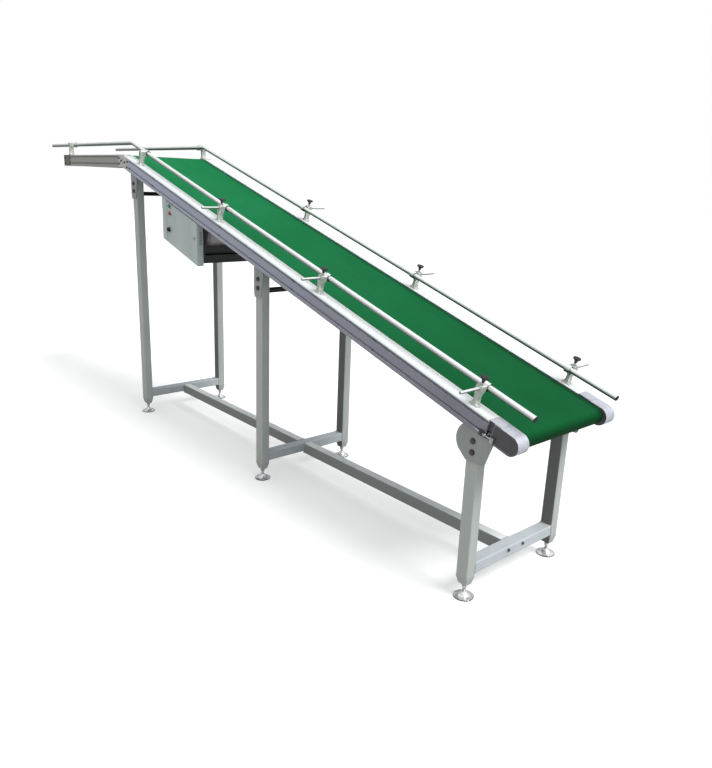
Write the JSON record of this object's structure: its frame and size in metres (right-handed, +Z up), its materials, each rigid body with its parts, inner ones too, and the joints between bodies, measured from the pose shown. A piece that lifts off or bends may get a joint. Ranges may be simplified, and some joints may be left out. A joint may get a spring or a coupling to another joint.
{
  "type": "inclined belt conveyor",
  "caption": "Flat belt conveyor that climbs from a low infeed end over a crest to a short level discharge, on tied leg frames with side guides and an underslung drive.",
  "frame": {"origin": "floor level, on the belt's centreline, half way along the overall length (bottom centre of the bounding box)", "axes": "+X towards the low infeed end, +Y away from the control box side, +Z up"},
  "size_m": [4.8382, 0.84, 1.842],
  "materials": {
    "rail_aluminium": "anodised extrusion, satin",
    "block_aluminium": "machined casting, satin",
    "frame_paint": "light grey powder coat",
    "zinc_steel": "zinc plated",
    "stainless_tube": "polished stainless",
    "belt_pvc": "matte green PVC top cover",
    "bed_steel": "brushed sheet",
    "black_paint": "black paint, worn edges",
    "cast_post": "blasted casting",
    "knob_black": "moulded black nylon",
    "foot_chrome": "chrome plated",
    "control_paint": "grey-green enamel",
    "motor_paint": "light grey enamel",
    "roller_metal": "turned roller",
    "chain_steel": "oiled steel",
    "button_green": "moulded",
    "button_red": "moulded"
  },
  "bodies": {
    "frame": {"side_rails": "rail_aluminium", "crest_plates": "block_aluminium", "head_blocks": "block_aluminium", "slider_bed": "bed_steel", "frame_spreaders": "rail_aluminium", "legs": "frame_paint", "leg_ties": "black_paint", "cross_stretchers": "frame_paint", "long_stretchers": "frame_paint", "rail_hangers": "frame_paint", "hinge_bolts": "zinc_steel", "frame_bolts": "zinc_steel", "leg_plugs": "frame_paint", "guide_posts": "cast_post", "conveyor_belt": "belt_pvc", "fixed_bearings": "bed_steel", "tension_screws": "zinc_steel", "roller_brackets": "zinc_steel", "drive_side_plates": "black_paint", "drive_cross_members": "black_paint", "motor_body": "motor_paint", "gearbox": "motor_paint", "drive_chain": "chain_steel", "control_box": "control_paint"},
    "tail_carriage": {"tail_blocks": "block_aluminium", "tail_bearings": "bed_steel"},
    "tail_roller": {"tail_roller": "roller_metal"},
    "head_roller": {"head_roller": "roller_metal"},
    "crest_roller": {"crest_roller": "roller_metal"},
    "return_roller_crest": {"return_roller_crest": "roller_metal"},
    "return_roller_upper": {"return_roller_upper": "roller_metal"},
    "return_roller_lower": {"return_roller_lower": "roller_metal"},
    "snub_roller_upper": {"snub_roller_upper": "roller_metal"},
    "snub_roller_lower": {"snub_roller_lower": "roller_metal"},
    "drive_drum": {"drive_drum": "roller_metal", "drum_sprocket": "chain_steel"},
    "motor_sprocket": {"motor_sprocket": "chain_steel"},
    "side_guide_near": {"guide_rail_near": "stainless_tube", "guide_clamps_near": "stainless_tube"},
    "side_guide_far": {"guide_rail_far": "stainless_tube", "guide_clamps_far": "stainless_tube"},
    "clamp_knob_near_1": {"clamp_knob_near_1": "knob_black"},
    "clamp_knob_near_2": {"clamp_knob_near_2": "knob_black"},
    "clamp_knob_near_3": {"clamp_knob_near_3": "knob_black"},
    "clamp_knob_far_1": {"clamp_knob_far_1": "knob_black"},
    "clamp_knob_far_2": {"clamp_knob_far_2": "knob_black"},
    "clamp_knob_far_3": {"clamp_knob_far_3": "knob_black"},
    "foot_front_near": {"foot_front_near": "foot_chrome"},
    "foot_front_far": {"foot_front_far": "foot_chrome"},
    "foot_middle_near": {"foot_middle_near": "foot_chrome"},
    "foot_middle_far": {"foot_middle_far": "foot_chrome"},
    "foot_rear_near": {"foot_rear_near": "foot_chrome"},
    "foot_rear_far": {"foot_rear_far": "foot_chrome"},
    "control_box_door": {"control_box_door": "control_paint"},
    "start_button": {"start_button": "button_green"},
    "stop_button": {"stop_button": "button_red"},
    "speed_knob": {"speed_knob": "knob_black"}
  },
  "joints": [
    {"name": "drum_spin", "type": "hinge", "parent": "frame", "child": "drive_drum", "pos_m": [-0.21364, 0, 1.34466], "axis": [0, 1, 0], "continuous": true},
    {"name": "belt_tension", "type": "slide", "parent": "frame", "child": "tail_carriage", "axis": [0.9578, 0, -0.2875], "range_m": [-0.02, 0]},
    {"name": "tail_roller_spin", "type": "hinge", "parent": "tail_carriage", "child": "tail_roller", "pos_m": [2.32659, 0, 0.73242], "axis": [0, 1, 0], "continuous": true},
    {"name": "head_roller_spin", "type": "hinge", "parent": "frame", "child": "head_roller", "pos_m": [-1.96309, 0, 1.708], "axis": [0, 1, 0], "continuous": true},
    {"name": "crest_roller_spin", "type": "hinge", "parent": "frame", "child": "crest_roller", "pos_m": [-0.92149, 0, 1.719], "axis": [0, 1, 0], "continuous": true},
    {"name": "return_roller_crest_spin", "type": "hinge", "parent": "frame", "child": "return_roller_crest", "pos_m": [-0.93164, 0, 1.6499], "axis": [0, 1, 0], "continuous": true},
    {"name": "return_roller_upper_spin", "type": "hinge", "parent": "frame", "child": "return_roller_upper", "pos_m": [0.54854, 0, 1.20554], "axis": [0, 1, 0], "continuous": true},
    {"name": "return_roller_lower_spin", "type": "hinge", "parent": "frame", "child": "return_roller_lower", "pos_m": [1.54462, 0, 0.90651], "axis": [0, 1, 0], "continuous": true},
    {"name": "snub_roller_upper_spin", "type": "hinge", "parent": "frame", "child": "snub_roller_upper", "pos_m": [-0.27035, 0, 1.45138], "axis": [0, 1, 0], "continuous": true},
    {"name": "snub_roller_lower_spin", "type": "hinge", "parent": "frame", "child": "snub_roller_lower", "pos_m": [-0.10753, 0, 1.4025], "axis": [0, 1, 0], "continuous": true},
    {"name": "motor_sprocket_spin", "type": "hinge", "parent": "frame", "child": "motor_sprocket", "pos_m": [-0.01107, 0, 1.27863], "axis": [0, 1, 0], "continuous": true},
    {"name": "guide_near_slide", "type": "slide", "parent": "frame", "child": "side_guide_near", "axis": [0, 1, 0], "range_m": [0, 0.025]},
    {"name": "guide_far_slide", "type": "slide", "parent": "frame", "child": "side_guide_far", "axis": [0, -1, 0], "range_m": [0, 0.025]},
    {"name": "knob_near_1_turn", "type": "hinge", "parent": "frame", "child": "clamp_knob_near_1", "pos_m": [0.28493, -0.3, 1.49256], "axis": [0.2875, 0, 0.9578], "range_deg": [0, 360]},
    {"name": "knob_near_2_turn", "type": "hinge", "parent": "frame", "child": "clamp_knob_near_2", "pos_m": [1.19195, -0.3, 1.22027], "axis": [0.2875, 0, 0.9578], "range_deg": [0, 360]},
    {"name": "knob_near_3_turn", "type": "hinge", "parent": "frame", "child": "clamp_knob_near_3", "pos_m": [2.17175, -0.3, 0.92613], "axis": [0.2875, 0, 0.9578], "range_deg": [0, 360]},
    {"name": "knob_far_1_turn", "type": "hinge", "parent": "frame", "child": "clamp_knob_far_1", "pos_m": [0.28493, 0.3, 1.49256], "axis": [0.2875, 0, 0.9578], "range_deg": [0, 360]},
    {"name": "knob_far_2_turn", "type": "hinge", "parent": "frame", "child": "clamp_knob_far_2", "pos_m": [1.23217, 0.3, 1.20819], "axis": [0.2875, 0, 0.9578], "range_deg": [0, 360]},
    {"name": "knob_far_3_turn", "type": "hinge", "parent": "frame", "child": "clamp_knob_far_3", "pos_m": [2.18803, 0.3, 0.92124], "axis": [0.2875, 0, 0.9578], "range_deg": [0, 360]},
    {"name": "foot_front_near_level", "type": "slide", "parent": "frame", "child": "foot_front_near", "axis": [0, 0, 1], "range_m": [-0.03, 0]},
    {"name": "foot_front_far_level", "type": "slide", "parent": "frame", "child": "foot_front_far", "axis": [0, 0, 1], "range_m": [-0.03, 0]},
    {"name": "foot_middle_near_level", "type": "slide", "parent": "frame", "child": "foot_middle_near", "axis": [0, 0, 1], "range_m": [-0.03, 0]},
    {"name": "foot_middle_far_level", "type": "slide", "parent": "frame", "child": "foot_middle_far", "axis": [0, 0, 1], "range_m": [-0.03, 0]},
    {"name": "foot_rear_near_level", "type": "slide", "parent": "frame", "child": "foot_rear_near", "axis": [0, 0, 1], "range_m": [-0.03, 0]},
    {"name": "foot_rear_far_level", "type": "slide", "parent": "frame", "child": "foot_rear_far", "axis": [0, 0, 1], "range_m": [-0.03, 0]},
    {"name": "door_swing", "type": "hinge", "parent": "frame", "child": "control_box_door", "pos_m": [-0.31359, -0.3328, 1.35], "axis": [0, 0, -1], "range_deg": [0, 110]},
    {"name": "start_press", "type": "slide", "parent": "control_box_door", "child": "start_button", "axis": [0, 1, 0], "range_m": [0, 0.003], "stiffness_N_per_m": 300},
    {"name": "stop_press", "type": "slide", "parent": "control_box_door", "child": "stop_button", "axis": [0, 1, 0], "range_m": [0, 0.003], "stiffness_N_per_m": 300},
    {"name": "speed_turn", "type": "hinge", "parent": "control_box_door", "child": "speed_knob", "pos_m": [-0.27909, -0.34, 1.312], "axis": [0, -1, 0], "range_deg": [-150, 150]}
  ],
  "couplings": [
    {"joint": "tail_roller_spin", "follows": "drum_spin", "ratio": 1.6667},
    {"joint": "head_roller_spin", "follows": "drum_spin", "ratio": 1.6667},
    {"joint": "crest_roller_spin", "follows": "drum_spin", "ratio": 2.4},
    {"joint": "return_roller_crest_spin", "follows": "drum_spin", "ratio": -3},
    {"joint": "return_roller_upper_spin", "follows": "drum_spin", "ratio": -3},
    {"joint": "return_roller_lower_spin", "follows": "drum_spin", "ratio": -3},
    {"joint": "snub_roller_upper_spin", "follows": "drum_spin", "ratio": -3},
    {"joint": "snub_roller_lower_spin", "follows": "drum_spin", "ratio": -3},
    {"joint": "motor_sprocket_spin", "follows": "drum_spin", "ratio": 1.5}
  ]
}
